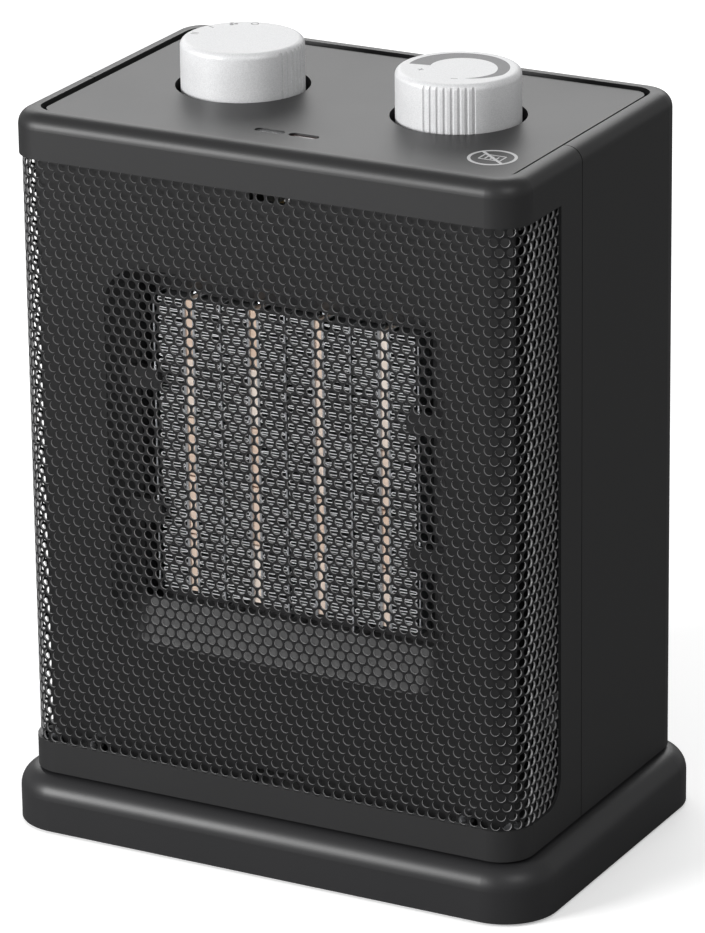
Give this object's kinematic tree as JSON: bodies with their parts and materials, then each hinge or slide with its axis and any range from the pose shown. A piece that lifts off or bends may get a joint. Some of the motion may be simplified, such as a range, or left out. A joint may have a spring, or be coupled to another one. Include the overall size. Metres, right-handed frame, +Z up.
{
  "type": "ceramic_space_heater",
  "caption": "Upright ceramic space heater on a swivelling base, with a wrap-round perforated grille, PTC heating block, fan and two top knobs",
  "frame": {"origin": "On the floor plane, under the swivel axis, at the middle of the base", "axes": "+X to the right as seen from the front, +Y to the rear, +Z up; the grille faces -Y"},
  "size_m": [0.192, 0.127, 0.2551],
  "materials": {
    "body_abs": "fine_textured",
    "base_abs": "fine_textured",
    "grille_paint": "matte",
    "knob_silver": "satin",
    "inner_plastic": "plain",
    "light_plastic": "plain",
    "black_plastic": "plain",
    "clear_lens": "clear",
    "smoked_lens": "smoked",
    "rubber": "plain",
    "zinc_steel": "zinc_plated",
    "lamination": "laminated",
    "heater_aluminium": "rolled",
    "ptc_ceramic": "fired_ceramic",
    "bronze": "sintered",
    "wire_pvc": "plain",
    "neon_glass": "clear"
  },
  "bodies": {
    "base": {"base_shell": "base_abs", "base_plate": "base_abs", "rubber_feet": "rubber", "base_screws": "zinc_steel", "crank_guide": "light_plastic", "tip_switch": "black_plastic", "cord_gland": "rubber", "cord_clamp": "light_plastic", "swivel_washer": "light_plastic"},
    "plunger": {"tip_plunger": "light_plastic"},
    "heater": {"body_floor": "body_abs", "turret_ring": "light_plastic", "turret_screws": "zinc_steel", "floor_screws": "zinc_steel", "swing_motor": "zinc_steel", "swing_screws": "zinc_steel", "front_shell": "body_abs", "grille": "grille_paint", "rear_shell": "body_abs", "shell_screws": "zinc_steel", "baffle": "inner_plastic", "baffle_screws": "zinc_steel", "air_duct": "inner_plastic", "duct_screws": "zinc_steel", "ptc_frame": "inner_plastic", "ptc_stones": "ptc_ceramic", "ptc_strips": "heater_aluminium", "ptc_plates": "heater_aluminium", "ptc_fins": "heater_aluminium", "thermal_cutout": "zinc_steel", "thermal_fuse": "ptc_ceramic", "fan_motor": "lamination", "motor_bushes": "bronze", "motor_bracket": "zinc_steel", "motor_screws": "zinc_steel", "top_panel": "body_abs", "power_lens": "clear_lens", "heat_lens": "smoked_lens", "pilot_lamps": "neon_glass", "lamp_holder": "light_plastic", "control_bracket": "zinc_steel", "control_screws": "zinc_steel", "rotary_switch": "light_plastic", "thermostat": "ptc_ceramic", "swing_switch": "black_plastic", "terminal_block": "light_plastic", "lead_wires": "wire_pvc"},
    "swing_crank": {"swing_shaft": "zinc_steel", "crank": "light_plastic", "crank_pin": "zinc_steel"},
    "rotor": {"impeller": "light_plastic", "fan_shaft": "zinc_steel", "fan_rotor": "lamination", "impeller_clip": "zinc_steel"},
    "function_control": {"function_stem": "zinc_steel", "function_knob": "knob_silver"},
    "thermostat_control": {"thermostat_stem": "zinc_steel", "thermostat_knob": "knob_silver"},
    "rocker": {"swing_rocker": "black_plastic"}
  },
  "joints": [
    {"name": "body_swing", "type": "hinge", "parent": "base", "child": "heater", "pos_m": [0, 0, 0.019], "axis": [0, 0, 1], "range_deg": [-30, 30]},
    {"name": "crank_turn", "type": "hinge", "parent": "heater", "child": "swing_crank", "pos_m": [0, 0.024, 0.0106], "axis": [0, 0, 1], "range_deg": [-120, 120]},
    {"name": "fan_spin", "type": "hinge", "parent": "heater", "child": "rotor", "pos_m": [0, 0, 0.133], "axis": [0, 1, 0], "continuous": true},
    {"name": "function_turn", "type": "hinge", "parent": "heater", "child": "function_control", "pos_m": [-0.0382, 0.0026, 0.234], "axis": [0, 0, 1], "range_deg": [-84, 0]},
    {"name": "thermostat_turn", "type": "hinge", "parent": "heater", "child": "thermostat_control", "pos_m": [0.0382, 0.0026, 0.234], "axis": [0, 0, 1], "range_deg": [-100, 145]},
    {"name": "rocker_tip", "type": "hinge", "parent": "heater", "child": "rocker", "pos_m": [0.05, 0.0575, 0.2098], "axis": [1, 0, 0], "range_deg": [0, 14]},
    {"name": "plunger_slide", "type": "slide", "parent": "base", "child": "plunger", "axis": [0, 0, 1], "range_m": [-0.003, 0], "stiffness_N_per_m": 150, "springref_m": -0.004}
  ],
  "couplings": [
    {"joint": "crank_turn", "follows": "body_swing", "ratio": -4}
  ]
}
